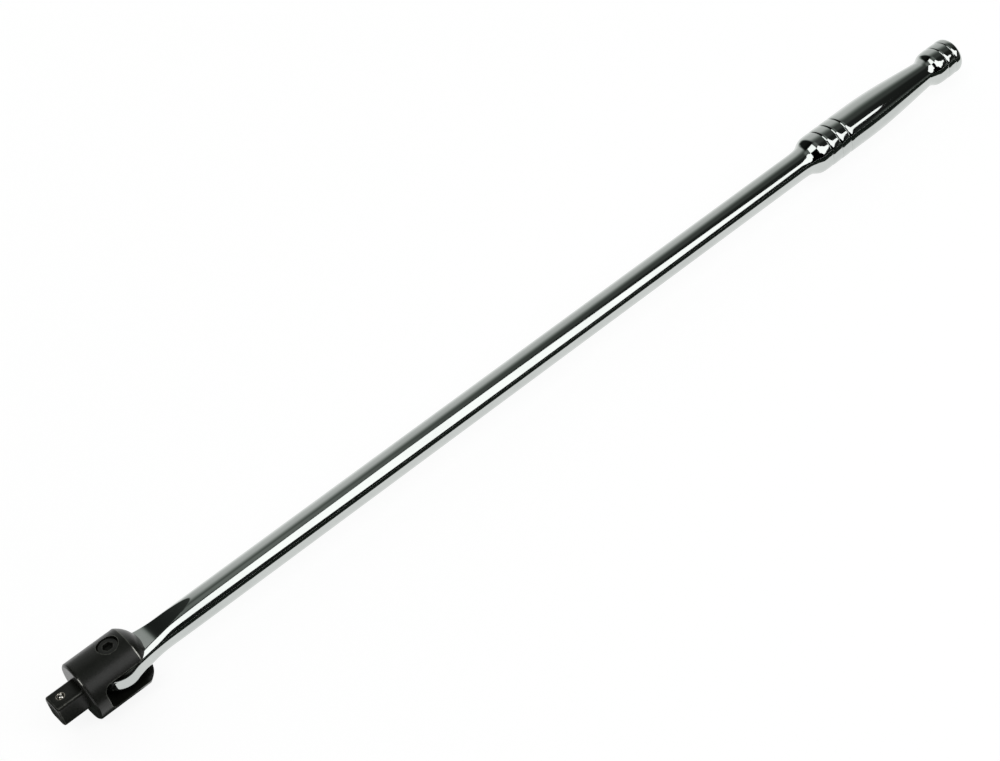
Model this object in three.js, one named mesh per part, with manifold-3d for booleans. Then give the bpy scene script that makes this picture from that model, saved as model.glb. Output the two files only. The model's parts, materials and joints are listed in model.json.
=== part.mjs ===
// Half-inch-drive breaker bar, 635 mm long, with a forked drive head that swings on the flattened
// eye of the bar. Millimetres, +Z up. The bar lies along +X with its grip at the far end; the
// origin is the centre of the drive square's end face, and the pivot axis is parallel to Z.
import * as THREE from 'three';
import * as BufferGeometryUtils from 'three/addons/utils/BufferGeometryUtils.js';
import Module from 'manifold-3d';

const wasm = await Module();
wasm.setup();

// ---------------------------------------------------------------- driving dimensions
const LENGTH = 635;
const SQUARE = { across: 12.7, corner: 2.0, length: 15.2, chamfer: 1.2 };
const HEAD = { radius: 16.1, chamfer: 0.8, shoulderX: 44.8, rearX: 51.8, rearRadius: 8.0 };
const SLOT = { halfWidth: 7.5, floorX: 22.4, cornerRadius: 4.0 };
const PIVOT = { x: 36.6, shoulderRadius: 4.0, threadRadius: 3.0, shoulderEndZ: -9.05, endZ: -15.2 };
const SCREW_HEAD = { radius: 5.2, seatZ: 11.0, topZ: 14.6, chamfer: 0.4, hexAcross: 5.0, hexDepth: 2.6 };
const COUNTERBORE_RADIUS = 5.6;
const RUNNING_CLEARANCE = 0.1;
const FACE_GAP = 0.05;
const WASHER = { inner: 4.4, outer: 8.6, thickness: 0.6, wave: 0.6, waves: 3 };
const BALL = { radius: 2.1, x: 6.0, z: 5.1, pocketFloorZ: -1.0, mouthRadius: 1.95, lip: 0.3, flare: 0.45 };
const DETENT = { radius: 1.75, pocketEndX: 30.6, mouthRadius: 1.6, lipX: 23.3, flare: 0.45 };
const SPRING_CLEARANCE = 0.1;

const EYE = { radius: 13.4, halfThickness: 5.5, neckStartX: 41.0, neckEndX: 67.0, flatEndX: 57.2 };
const RAMP_END_X = 86.0;
const SHAFT_RADIUS = 8.15;
const GRIP = { startX: 508.0, collarX: 521.0, collarRadius: 11.7, bellyX: 562.0, waistX: 608.8 };
const KNOB = { startX: 609.8, crestX: 616.5, radius: 10.5, edgeRadius: 3.0 };
const COLLAR_GROOVES = { firstX: 524.3, pitch: 7.5, count: 3, halfWidth: 1.3, depth: 0.6 };
const KNOB_GROOVES = { firstX: 623.4, pitch: 6.8, count: 2, halfWidth: 1.1, depth: 0.5 };

const HEAD_SEGMENTS = 48;
const BAR_SEGMENTS = 40;
const BORE_SEGMENTS = 32;

// ---------------------------------------------------------------- materials
const chrome = () => new THREE.MeshStandardMaterial({ color: 0xc4c9c6, roughness: 0.12, metalness: 1.0 });
const blackened = () => new THREE.MeshStandardMaterial({ color: 0x2f322e, roughness: 0.45, metalness: 0.6 });
const darkScrew = () => new THREE.MeshStandardMaterial({ color: 0x232622, roughness: 0.4, metalness: 0.7 });
const brightSteel = () => new THREE.MeshStandardMaterial({ color: 0xb9b8b2, roughness: 0.2, metalness: 1.0 });
const springSteel = () => new THREE.MeshStandardMaterial({ color: 0x8c8d89, roughness: 0.35, metalness: 1.0 });

// ---------------------------------------------------------------- helpers
const lerp = THREE.MathUtils.lerp;

/** Closed three.js geometry to a solid, with shared vertices merged and slivers dropped. */
function solid(geometry) {
  const bare = geometry.clone();
  bare.deleteAttribute('normal');
  bare.deleteAttribute('uv');
  const merged = BufferGeometryUtils.mergeVertices(bare, 1e-4);
  const source = merged.index.array;
  const kept = [];
  for (let i = 0; i < source.length; i += 3) {
    const [a, b, c] = [source[i], source[i + 1], source[i + 2]];
    if (a !== b && b !== c && c !== a) kept.push(a, b, c);
  }
  return new wasm.Manifold(new wasm.Mesh({
    numProp: 3,
    vertProperties: new Float32Array(merged.attributes.position.array),
    triVerts: new Uint32Array(kept),
  }));
}

/** Solid back to a named mesh. */
function named(name, body, material) {
  const result = body.getMesh();
  const geometry = new THREE.BufferGeometry();
  geometry.setAttribute('position', new THREE.BufferAttribute(new Float32Array(result.vertProperties), 3));
  geometry.setIndex(new THREE.BufferAttribute(new Uint32Array(result.triVerts), 1));
  geometry.computeVertexNormals();
  const mesh = new THREE.Mesh(geometry, material);
  mesh.name = name;
  return mesh;
}

/** Turned part about X from [x, radius] pairs; half a segment of turn puts a flat underneath. */
function turnedX(profile, segments) {
  const points = profile.map(([x, radius]) => new THREE.Vector2(radius, x));
  const geometry = new THREE.LatheGeometry(points, segments, Math.PI / segments);
  geometry.rotateZ(-Math.PI / 2);
  return geometry;
}

/** Turned part about Z from [z, radius] pairs. */
function turnedZ(profile, segments = BORE_SEGMENTS) {
  const points = profile.map(([z, radius]) => new THREE.Vector2(radius, z));
  const geometry = new THREE.LatheGeometry(points, segments);
  geometry.rotateX(Math.PI / 2);
  return geometry;
}

/** Rectangle with rounded corners, centred on the origin. */
function roundedRectangle(width, height, radius) {
  const x = width / 2;
  const y = height / 2;
  const shape = new THREE.Shape();
  shape.moveTo(-x + radius, -y);
  shape.lineTo(x - radius, -y);
  shape.absarc(x - radius, -y + radius, radius, -Math.PI / 2, 0);
  shape.lineTo(x, y - radius);
  shape.absarc(x - radius, y - radius, radius, 0, Math.PI / 2);
  shape.lineTo(-x + radius, y);
  shape.absarc(-x + radius, y - radius, radius, Math.PI / 2, Math.PI);
  shape.lineTo(-x, -y + radius);
  shape.absarc(-x + radius, -y + radius, radius, Math.PI, Math.PI * 1.5);
  return shape;
}

/** Closed coil spring about Z between two heights. */
function coilZ(startZ, endZ, outerRadius, wireRadius, turns) {
  const pitchRadius = outerRadius - wireRadius;
  const low = startZ + wireRadius;
  const high = endZ - wireRadius;
  class Helix extends THREE.Curve {
    getPoint(t, target = new THREE.Vector3()) {
      const angle = 2 * Math.PI * turns * t;
      return target.set(pitchRadius * Math.cos(angle), pitchRadius * Math.sin(angle), lerp(low, high, t));
    }
  }
  const wire = new THREE.Shape();
  wire.absarc(0, 0, wireRadius, 0, Math.PI * 2);
  return new THREE.ExtrudeGeometry(wire, {
    steps: Math.round(turns * 14),
    curveSegments: 4,
    bevelEnabled: false,
    extrudePath: new Helix(),
  });
}

// ---------------------------------------------------------------- bar
/** Half-width of the bar seen from above: eye circle, swept neck, shaft, then the turned grip. */
function halfWidth(x) {
  if (x < EYE.neckStartX) {
    const offset = x - PIVOT.x;
    return Math.sqrt(Math.max(EYE.radius ** 2 - offset ** 2, 0));
  }
  if (x < EYE.neckEndX) return neckHalfWidth(x);
  return turnedRadius(x);
}

/** Concave sweep from the eye circle to the shaft, flat where it meets the shaft. */
function neckHalfWidth(x) {
  const offset = EYE.neckStartX - PIVOT.x;
  const startWidth = Math.sqrt(EYE.radius ** 2 - offset ** 2);
  const startSlope = -offset / startWidth;
  const span = EYE.neckEndX - EYE.neckStartX;
  const t = (x - EYE.neckStartX) / span;
  const drop = (1 - t) ** 2;
  return SHAFT_RADIUS + drop * ((startWidth - SHAFT_RADIUS) * (1 + 2 * t) + startSlope * span * t);
}

/** Radius of the turned length: shaft, collar shoulder, belly, waist and end knob. */
function turnedRadius(x) {
  if (x <= GRIP.startX) return SHAFT_RADIUS;
  if (x < GRIP.collarX) {
    return lerp(SHAFT_RADIUS, GRIP.collarRadius, THREE.MathUtils.smoothstep(x, GRIP.startX - 1, GRIP.collarX));
  }
  if (x <= GRIP.bellyX) return GRIP.collarRadius;
  if (x < GRIP.waistX) {
    const t = (x - GRIP.bellyX) / (GRIP.waistX - GRIP.bellyX);
    return lerp(GRIP.collarRadius, SHAFT_RADIUS, t * t * (1.75 - 0.75 * t));
  }
  if (x <= KNOB.startX) return SHAFT_RADIUS;
  if (x < KNOB.crestX) {
    return lerp(SHAFT_RADIUS, KNOB.radius, THREE.MathUtils.smoothstep(x, KNOB.startX, KNOB.crestX));
  }
  const past = x - (LENGTH - KNOB.edgeRadius);
  if (past <= 0) return KNOB.radius;
  return KNOB.radius - KNOB.edgeRadius + Math.sqrt(Math.max(KNOB.edgeRadius ** 2 - past ** 2, 0));
}

/** Depth below the plain surface at the middle of a row of V grooves. */
function grooveDepth(x, row) {
  let depth = 0;
  for (let i = 0; i < row.count; i += 1) {
    const away = Math.abs(x - row.firstX - i * row.pitch);
    depth = Math.max(depth, row.depth * (1 - away / row.halfWidth));
  }
  return depth;
}

/** Ring stations along the bar, close together where its outline turns. */
function barStations() {
  const stations = [];
  for (let angle = 12; angle <= 114; angle += 8.5) {
    stations.push(PIVOT.x - EYE.radius * Math.cos(THREE.MathUtils.degToRad(angle)));
  }
  const addSpan = (from, to, count) => {
    for (let i = 0; i <= count; i += 1) stations.push(lerp(from, to, i / count));
  };
  addSpan(EYE.neckStartX, EYE.neckEndX, 7);
  addSpan(70, RAMP_END_X, 4);
  addSpan(GRIP.startX, GRIP.collarX, 6);
  addSpan(GRIP.bellyX, GRIP.waistX, 7);
  addSpan(KNOB.startX, KNOB.crestX, 4);
  for (const row of [COLLAR_GROOVES, KNOB_GROOVES]) {
    for (let i = 0; i < row.count; i += 1) {
      const middle = row.firstX + i * row.pitch;
      stations.push(middle - row.halfWidth, middle, middle + row.halfWidth);
    }
  }
  for (let step = 0; step <= 3; step += 1) {
    stations.push(LENGTH - KNOB.edgeRadius * (1 - Math.sin((step / 3) * (Math.PI / 2))));
  }
  stations.sort((a, b) => a - b);
  return stations.filter((x, i) => i === 0 || x - stations[i - 1] > 0.05);
}

/** Bar blank: every ring is a superellipse, squarish at the eye and round from the ramp's end on. */
function barBlank() {
  const stations = barStations();
  const profile = [[stations[0], 0], ...stations.map((x) => [x, 1]), [stations[stations.length - 1], 0]];
  const geometry = turnedX(profile, BAR_SEGMENTS);
  const position = geometry.attributes.position;
  for (let i = 0; i < position.count; i += 1) {
    const x = position.getX(i);
    const unit = Math.hypot(position.getY(i), position.getZ(i));
    if (unit < 0.5) continue;
    const across = position.getY(i) / unit;
    const up = position.getZ(i) / unit;
    const roundness = THREE.MathUtils.smoothstep(x, EYE.flatEndX, RAMP_END_X);
    const power = lerp(5, 2, roundness);
    const wide = halfWidth(x) - grooveDepth(x, COLLAR_GROOVES) - grooveDepth(x, KNOB_GROOVES);
    const high = x > RAMP_END_X ? wide : lerp(EYE.halfThickness + 0.6, SHAFT_RADIUS, roundness);
    const radius = (Math.abs(across / wide) ** power + Math.abs(up / high) ** power) ** (-1 / power);
    position.setXYZ(i, x, across * radius, up * radius);
  }
  return solid(geometry);
}

/** Everything between the two eye flats and the ramps that lead out of them to the full shaft. */
function eyeThicknessLimit() {
  const outline = new THREE.Shape();
  const thin = EYE.halfThickness;
  const thick = SHAFT_RADIUS + 0.2;
  const beyond = GRIP.collarRadius + 5;
  outline.moveTo(0, -thin);
  outline.lineTo(EYE.flatEndX, -thin);
  outline.lineTo(RAMP_END_X, -thick);
  outline.lineTo(RAMP_END_X, -beyond);
  outline.lineTo(LENGTH + 10, -beyond);
  outline.lineTo(LENGTH + 10, beyond);
  outline.lineTo(RAMP_END_X, beyond);
  outline.lineTo(RAMP_END_X, thick);
  outline.lineTo(EYE.flatEndX, thin);
  outline.lineTo(0, thin);
  const depth = 60;
  const geometry = new THREE.ExtrudeGeometry(outline, { depth, bevelEnabled: false });
  geometry.translate(0, 0, -depth / 2);
  geometry.rotateX(Math.PI / 2);
  return solid(geometry);
}

/** Pocket bored into the nose of the eye for the detent ball, with a narrowed mouth. */
function detentPocket() {
  const wide = DETENT.radius + RUNNING_CLEARANCE;
  return solid(turnedX([
    [PIVOT.x - EYE.radius - 1, 0],
    [PIVOT.x - EYE.radius - 1, DETENT.mouthRadius],
    [DETENT.lipX, DETENT.mouthRadius],
    [DETENT.lipX + DETENT.flare, wide],
    [DETENT.pocketEndX, wide],
    [DETENT.pocketEndX, 0],
  ], BORE_SEGMENTS));
}

function handleBar() {
  const bore = PIVOT.shoulderRadius + RUNNING_CLEARANCE;
  const pivotHole = turnedZ([[-9, 0], [-9, bore], [9, bore], [9, 0]]);
  pivotHole.translate(PIVOT.x, 0, 0);
  const body = barBlank()
    .intersect(eyeThicknessLimit())
    .subtract(solid(pivotHole))
    .subtract(detentPocket());
  return named('handle_bar', body, chrome());
}

// ---------------------------------------------------------------- drive head
function headBarrel() {
  const profile = [
    [SQUARE.length, 0],
    [SQUARE.length, HEAD.radius - HEAD.chamfer],
    [SQUARE.length + HEAD.chamfer, HEAD.radius],
    [HEAD.shoulderX, HEAD.radius],
  ];
  const domeSteps = 4;
  for (let i = 1; i <= domeSteps; i += 1) {
    const t = i / domeSteps;
    const bulge = 1.1 * Math.sin(Math.PI * t);
    const x = lerp(HEAD.shoulderX, HEAD.rearX, t) + bulge * 0.7;
    profile.push([Math.min(x, HEAD.rearX), lerp(HEAD.radius, HEAD.rearRadius, t) + bulge * 0.7]);
  }
  profile.push([HEAD.rearX, 0]);
  return solid(turnedX(profile, HEAD_SEGMENTS));
}

/** Male drive square, running into the barrel so that the two fuse. */
function driveSquare() {
  const overlap = 3;
  const { across, corner, chamfer, length } = SQUARE;
  const inner = across - 2 * chamfer;
  const geometry = new THREE.ExtrudeGeometry(roundedRectangle(inner, inner, corner - chamfer * 0.6), {
    depth: length + overlap - 2 * chamfer,
    bevelThickness: chamfer,
    bevelSize: chamfer,
    bevelSegments: 1,
    curveSegments: 4,
  });
  geometry.translate(0, 0, chamfer);
  geometry.rotateY(Math.PI / 2);
  return solid(geometry);
}

/** Fork slot, open to the rear and both sides, with rounded corners at its floor. */
function forkSlot() {
  const { halfWidth: half, floorX, cornerRadius } = SLOT;
  const endX = HEAD.rearX + 10;
  const outline = new THREE.Shape();
  outline.moveTo(endX, half);
  outline.lineTo(floorX + cornerRadius, half);
  outline.absarc(floorX + cornerRadius, half - cornerRadius, cornerRadius, Math.PI / 2, Math.PI);
  outline.lineTo(floorX, -half + cornerRadius);
  outline.absarc(floorX + cornerRadius, -half + cornerRadius, cornerRadius, Math.PI, Math.PI * 1.5);
  outline.lineTo(endX, -half);
  const depth = 2 * HEAD.radius + 10;
  const geometry = new THREE.ExtrudeGeometry(outline, { depth, bevelEnabled: false, curveSegments: 6 });
  geometry.translate(0, 0, -depth / 2);
  geometry.rotateX(Math.PI / 2);
  return solid(geometry);
}

/** Stepped hole for the pivot screw: counterbore, shoulder bore and threaded bore. */
function screwHole() {
  const above = HEAD.radius + 2;
  const shoulder = PIVOT.shoulderRadius + RUNNING_CLEARANCE;
  const thread = PIVOT.threadRadius + RUNNING_CLEARANCE;
  const stepZ = PIVOT.shoulderEndZ - FACE_GAP;
  const geometry = turnedZ([
    [-above, 0],
    [-above, thread],
    [stepZ, thread],
    [stepZ, shoulder],
    [SCREW_HEAD.seatZ, shoulder],
    [SCREW_HEAD.seatZ, COUNTERBORE_RADIUS],
    [above, COUNTERBORE_RADIUS],
    [above, 0],
  ]);
  geometry.translate(PIVOT.x, 0, 0);
  return solid(geometry);
}

/** Blind pocket for the socket ball, narrowed at its mouth by a staked lip. */
function ballPocket() {
  const faceZ = SQUARE.across / 2;
  const wide = BALL.radius + RUNNING_CLEARANCE;
  const lipZ = faceZ - BALL.lip;
  const geometry = turnedZ([
    [BALL.pocketFloorZ, 0],
    [BALL.pocketFloorZ, wide],
    [lipZ - BALL.flare, wide],
    [lipZ, BALL.mouthRadius],
    [faceZ + 1, BALL.mouthRadius],
    [faceZ + 1, 0],
  ]);
  geometry.translate(BALL.x, 0, 0);
  return solid(geometry);
}

function driveHead() {
  const body = headBarrel()
    .add(driveSquare())
    .subtract(forkSlot())
    .subtract(screwHole())
    .subtract(ballPocket());
  return named('drive_head', body, blackened());
}

// ---------------------------------------------------------------- pivot
function pivotScrew() {
  const { radius, seatZ, topZ, chamfer, hexAcross, hexDepth } = SCREW_HEAD;
  const seat = seatZ + FACE_GAP;
  const body = turnedZ([
    [PIVOT.endZ, 0],
    [PIVOT.endZ, PIVOT.threadRadius - 0.5],
    [PIVOT.endZ + 0.5, PIVOT.threadRadius],
    [PIVOT.shoulderEndZ, PIVOT.threadRadius],
    [PIVOT.shoulderEndZ, PIVOT.shoulderRadius],
    [seat, PIVOT.shoulderRadius],
    [seat, radius],
    [topZ - chamfer, radius],
    [topZ, radius - chamfer],
    [topZ, 0],
  ]);
  const overcut = 1;
  const hex = new THREE.CylinderGeometry(hexAcross / Math.sqrt(3), hexAcross / Math.sqrt(3), hexDepth + overcut, 6);
  hex.rotateX(Math.PI / 2);
  hex.translate(0, 0, topZ + (overcut - hexDepth) / 2);
  const screw = named('pivot_screw', solid(body).subtract(solid(hex)), darkScrew());
  screw.position.x = PIVOT.x;
  return screw;
}

/** Spring washer: a flat ring whose height waves three times round. */
function frictionWasher(name, side) {
  const { inner, outer, thickness, wave, waves } = WASHER;
  const half = thickness / 2;
  const geometry = turnedZ([[-half, inner], [-half, outer], [half, outer], [half, inner], [-half, inner]], 36);
  const position = geometry.attributes.position;
  for (let i = 0; i < position.count; i += 1) {
    const angle = Math.atan2(position.getY(i), position.getX(i));
    position.setZ(i, position.getZ(i) + wave * Math.cos(waves * angle));
  }
  const washer = named(name, solid(geometry), springSteel());
  washer.position.set(PIVOT.x, 0, (side * (EYE.halfThickness + SLOT.halfWidth)) / 2);
  return washer;
}

// ---------------------------------------------------------------- balls and springs
function ball(name, radius, x, z) {
  const sphere = named(name, solid(new THREE.SphereGeometry(radius, 24, 14)), brightSteel());
  sphere.position.set(x, 0, z);
  return sphere;
}

function socketBallSpring() {
  const top = BALL.z - BALL.radius - SPRING_CLEARANCE;
  const coil = coilZ(BALL.pocketFloorZ + SPRING_CLEARANCE, top, 1.75, 0.25, 4.5);
  const spring = named('socket_ball_spring', solid(coil), springSteel());
  spring.position.x = BALL.x;
  return spring;
}

function detentSpring(ballX) {
  const length = DETENT.pocketEndX - ballX - DETENT.radius - 2 * SPRING_CLEARANCE;
  const coil = coilZ(0, length, 1.5, 0.22, 5);
  coil.rotateY(Math.PI / 2);
  const spring = named('detent_spring', solid(coil), springSteel());
  spring.position.x = ballX + DETENT.radius + SPRING_CLEARANCE;
  return spring;
}

// ---------------------------------------------------------------- assembly
const detentX = SLOT.floorX + FACE_GAP + DETENT.radius;
const breakerBar = new THREE.Group();
breakerBar.add(handleBar());
breakerBar.add(detentSpring(detentX));
breakerBar.add(ball('detent_ball', DETENT.radius, detentX, 0));

const head = new THREE.Group();
head.add(driveHead());
head.add(pivotScrew());
head.add(frictionWasher('upper_friction_washer', 1));
head.add(frictionWasher('lower_friction_washer', -1));
head.add(socketBallSpring());
head.add(ball('socket_ball', BALL.radius, BALL.x, BALL.z));
breakerBar.add(head);

export default breakerBar;
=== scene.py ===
"""Breaker bar: chromed bar with a turned grip, blackened swinging drive head, and its small parts.

Metres, +Z up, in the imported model's own frame: +X runs from the drive square to the grip end, and
the pivot screw stands along Z. Every shape is a numpy surface, finished where it has to be by
cutting one closed surface with another.
"""
import json

import bmesh
import bpy
import numpy as np
from mathutils import Matrix, Vector


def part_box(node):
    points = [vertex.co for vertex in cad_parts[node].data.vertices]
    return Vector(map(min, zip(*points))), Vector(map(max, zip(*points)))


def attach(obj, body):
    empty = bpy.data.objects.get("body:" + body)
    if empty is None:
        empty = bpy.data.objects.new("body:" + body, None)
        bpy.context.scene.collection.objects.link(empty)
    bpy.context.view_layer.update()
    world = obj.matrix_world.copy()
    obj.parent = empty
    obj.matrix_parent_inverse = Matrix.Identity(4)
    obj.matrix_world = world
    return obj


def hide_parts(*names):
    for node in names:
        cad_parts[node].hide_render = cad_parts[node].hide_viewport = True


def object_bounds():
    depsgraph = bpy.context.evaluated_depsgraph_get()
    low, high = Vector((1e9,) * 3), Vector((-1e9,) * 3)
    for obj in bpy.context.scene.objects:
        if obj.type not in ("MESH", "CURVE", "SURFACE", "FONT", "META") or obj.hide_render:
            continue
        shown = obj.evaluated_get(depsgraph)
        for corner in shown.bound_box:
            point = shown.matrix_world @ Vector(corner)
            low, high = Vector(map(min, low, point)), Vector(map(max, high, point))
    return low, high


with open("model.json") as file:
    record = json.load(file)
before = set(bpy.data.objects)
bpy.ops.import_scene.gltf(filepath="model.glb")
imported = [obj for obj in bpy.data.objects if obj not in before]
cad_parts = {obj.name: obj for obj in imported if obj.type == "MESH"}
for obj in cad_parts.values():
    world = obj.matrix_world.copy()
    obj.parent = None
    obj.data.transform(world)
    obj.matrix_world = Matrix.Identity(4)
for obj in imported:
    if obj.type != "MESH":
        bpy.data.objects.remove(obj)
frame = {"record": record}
cad_low, cad_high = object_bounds()
record = frame["record"]

MM = 0.001
TAU = 2 * np.pi

# ---------------------------------------------------------------- sizes, worked out from the frame
joints = {joint["name"]: joint for joint in record["behaviour"]["joints"]}
mounts = {mount["name"]: mount for mount in record["mounts"]}
PIVOT_X = joints["head_pivot"]["pos_m"][0]
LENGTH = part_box("handle_bar")[1].x
BAR_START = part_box("handle_bar")[0].x
EYE_RADIUS = PIVOT_X - BAR_START
HEAD_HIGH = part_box("drive_head")[1]
HEAD_RADIUS = HEAD_HIGH.z
HEAD_REAR = HEAD_HIGH.x
SQUARE_HALF = mounts["drive_square_flat"]["pos_m"][1]
SQUARE_LENGTH = mounts["head_shoulder"]["pos_m"][0]
FLOOR_Z = cad_low.z

EYE_HALF_THICKNESS = 5.5 * MM
SLOT_HALF = 7.5 * MM
SLOT_FLOOR = 22.4 * MM
SLOT_CORNER = 4.0 * MM
SHAFT_RADIUS = 8.15 * MM
FLAT_END = 57.2 * MM
RAMP_END = 83.2 * MM
SHOULDER_BORE = 4.1 * MM
THREAD_BORE = 3.1 * MM
COUNTERBORE = 5.6 * MM
SCREW_SEAT = 11.0 * MM
BALL_X = 0.5 * (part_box("socket_ball")[0].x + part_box("socket_ball")[1].x)
BALL_ROOM = 0.85 * MM


# ---------------------------------------------------------------- mesh helpers
def smoothstep(x, low, high):
    """0 below low, 1 above high, and 3t^2 - 2t^3 between, with t the share of the way."""
    t = np.clip((np.asarray(x, float) - low) / (high - low), 0.0, 1.0)
    return t * t * (3 - 2 * t)


def smooth_curve(x, stops):
    """Value at x on a smooth curve through [place, value] stops: cubic pieces whose slopes at each
    stop are those of the chords beside it. Held at both ends."""
    places, values = np.asarray(stops, float).T
    slopes = np.gradient(values, places)
    slopes[[0, -1]] = 0
    x = np.clip(np.asarray(x, float), places[0], places[-1])
    i = np.clip(np.searchsorted(places, x) - 1, 0, len(places) - 2)
    span = places[i + 1] - places[i]
    t = (x - places[i]) / span
    rise = values[i + 1] - values[i]
    bend = t * (1 - t) * ((1 - t) * (slopes[i] * span - rise) - t * (slopes[i + 1] * span - rise))
    return values[i] + rise * t + bend


def grid_quads(rows, cols, rows_wrap=False, cols_wrap=True):
    """Four-cornered faces over a grid of points, whose rows and columns may wrap round."""
    row = np.arange(rows if rows_wrap else rows - 1)[:, None]
    col = np.arange(cols if cols_wrap else cols - 1)[None, :]
    down, after = (row + 1) % rows, (col + 1) % cols
    corners = [row * cols + col, row * cols + after, down * cols + after, down * cols + col]
    return np.stack(corners, axis=-1).reshape(-1, 4).tolist()


def surface(name, grid, sharp=30.0):
    """Closed object from a grid of points: rows run along the part, and columns wrap round it.

    Row ends are closed by a fan to the row's own centre. Doubled points are merged and faces turned
    outwards, so a row may shrink to a point or to a line.
    """
    rows, cols = grid.shape[:2]
    first, last = grid[0].mean(axis=0), grid[-1].mean(axis=0)
    points = np.vstack([grid.reshape(-1, 3), first, last])
    ring = np.arange(cols)
    turn = (ring + 1) % cols
    base = (rows - 1) * cols
    start_fan = np.stack([turn, ring, np.full(cols, rows * cols)], axis=-1)
    end_fan = np.stack([base + ring, base + turn, np.full(cols, rows * cols + 1)], axis=-1)
    mesh = bpy.data.meshes.new(name)
    mesh.from_pydata(points.tolist(), [], grid_quads(rows, cols) + start_fan.tolist() + end_fan.tolist())
    tidy_mesh(mesh, sharp)
    return placed(name, mesh)


def loop_surface(name, grid, sharp=30.0):
    """Closed ring-like object from a grid of points whose rows and columns both wrap round."""
    mesh = bpy.data.meshes.new(name)
    mesh.from_pydata(grid.reshape(-1, 3).tolist(), [], grid_quads(*grid.shape[:2], rows_wrap=True))
    tidy_mesh(mesh, sharp)
    return placed(name, mesh)


def tidy_mesh(mesh, sharp):
    """Merges doubled points, drops empty faces, turns faces outwards and shades smooth."""
    bm = bmesh.new()
    bm.from_mesh(mesh)
    bmesh.ops.remove_doubles(bm, verts=bm.verts, dist=2e-7)
    bmesh.ops.dissolve_degenerate(bm, edges=bm.edges, dist=2e-7)
    bmesh.ops.recalc_face_normals(bm, faces=bm.faces)
    bm.to_mesh(mesh)
    bm.free()
    shade(mesh, sharp)


def shade(mesh, sharp):
    """Smooth shading with edges sharper than the given angle, in degrees, kept crisp."""
    mesh.polygons.foreach_set("use_smooth", np.ones(len(mesh.polygons), bool))
    mesh.set_sharp_from_angle(angle=np.radians(sharp))
    mesh.update()


def placed(name, mesh):
    """Object of that mesh, at the origin of the scene."""
    thing = bpy.data.objects.new(name, mesh)
    bpy.context.scene.collection.objects.link(thing)
    return thing


def combine(body, others, operation, sharp=30.0):
    """Cuts others out of body, or joins them to it, and removes them."""
    for other in others:
        step = body.modifiers.new("step", "BOOLEAN")
        step.operation = operation
        step.solver = "MANIFOLD"
        step.object = other
    graph = bpy.context.evaluated_depsgraph_get()
    mesh = bpy.data.meshes.new_from_object(body.evaluated_get(graph))
    body.modifiers.clear()
    body.data = mesh
    shade(mesh, sharp)
    for other in others:
        bpy.data.objects.remove(other)
    return body


def around_x(place, radius, angle):
    """Points at a place along X, at a radius from it and an angle round it."""
    across = radius * np.cos(angle), radius * np.sin(angle)
    return np.stack(np.broadcast_arrays(place, *across), axis=-1)


def around_z(place, radius, angle):
    """Points at a place along Z, at a radius from it and an angle round it."""
    across = radius * np.cos(angle), radius * np.sin(angle)
    return np.stack(np.broadcast_arrays(*across, place), axis=-1)


def turned(profile, count, axis="X", centre=(0.0, 0.0, 0.0)):
    """Grid of a turned part: [place, radius] pairs carried round X or Z by an angle."""
    profile = np.asarray(profile, float)
    angle = (np.arange(count) + 0.5) * TAU / count
    carry = around_x if axis == "X" else around_z
    return carry(profile[:, :1], profile[:, 1:], angle) + np.asarray(centre, float)


def rounded(points, radius, steps=5):
    """[place, radius] outline whose inner corners are replaced by arcs, each one a quadratic curve
    from one edge to the next that starts and ends the given length away from the corner."""
    points = np.asarray(points, float)
    out = [points[:1]]
    t = np.linspace(0, 1, steps)[:, None]
    for before, corner, after in zip(points[:-2], points[1:-1], points[2:]):
        back, ahead = before - corner, after - corner
        reach = min(radius, 0.45 * np.linalg.norm(back), 0.45 * np.linalg.norm(ahead))
        start = corner + back / np.linalg.norm(back) * reach
        end = corner + ahead / np.linalg.norm(ahead) * reach
        out.append((1 - t) ** 2 * start + 2 * t * (1 - t) * corner + t ** 2 * end)
    out.append(points[-1:])
    return np.vstack(out)


def densify(points, longest):
    """Same outline with straight stretches divided so that none is longer than the given length."""
    points = np.asarray(points, float)
    out = [points[:1]]
    for start, end in zip(points[:-1], points[1:]):
        count = max(int(np.ceil(np.linalg.norm(end - start) / longest)), 1)
        t = np.linspace(0, 1, count + 1)[1:, None]
        out.append(start + (end - start) * t)
    return np.vstack(out)


# ---------------------------------------------------------------- bar
GRIP_START = 504.0 * MM
COLLAR_RADIUS = 11.7 * MM
BELLY_START = 556.0 * MM
WAIST = 609.5 * MM
KNOB_EDGE = 3.0 * MM
COLLAR_GROOVES = (524.3 * MM, 531.8 * MM, 539.3 * MM)
KNOB_GROOVES = (622.9 * MM, 629.4 * MM)
NECK_START = 41.0 * MM
NECK_END = 67.0 * MM
FORGED_END = 89 * MM
TURNED_START = 94 * MM

# a groove's near wall starts this far in front of its place and is this long, and this much of the
# land in front of it falls
GROOVE_WALL_START = 0.9 * MM
GROOVE_WALL = 0.8 * MM
LAND = 3.0 * MM

# share of an inset by which the neck's start moves towards the pivot, and length over which a ramp
# starts softly
NECK_LEAN = 0.33
RAMP_SOFTNESS = 1.2 * MM

# grooves of the collar and of the knob, with their depth, the length of their far side, and how far
# the land in front of each falls
GROOVE_ROWS = [
    (COLLAR_GROOVES, 0.6 * MM, 6.0 * MM, 0.11 * MM),
    (KNOB_GROOVES, 0.5 * MM, 5.2 * MM, 0.09 * MM),
]

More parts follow.
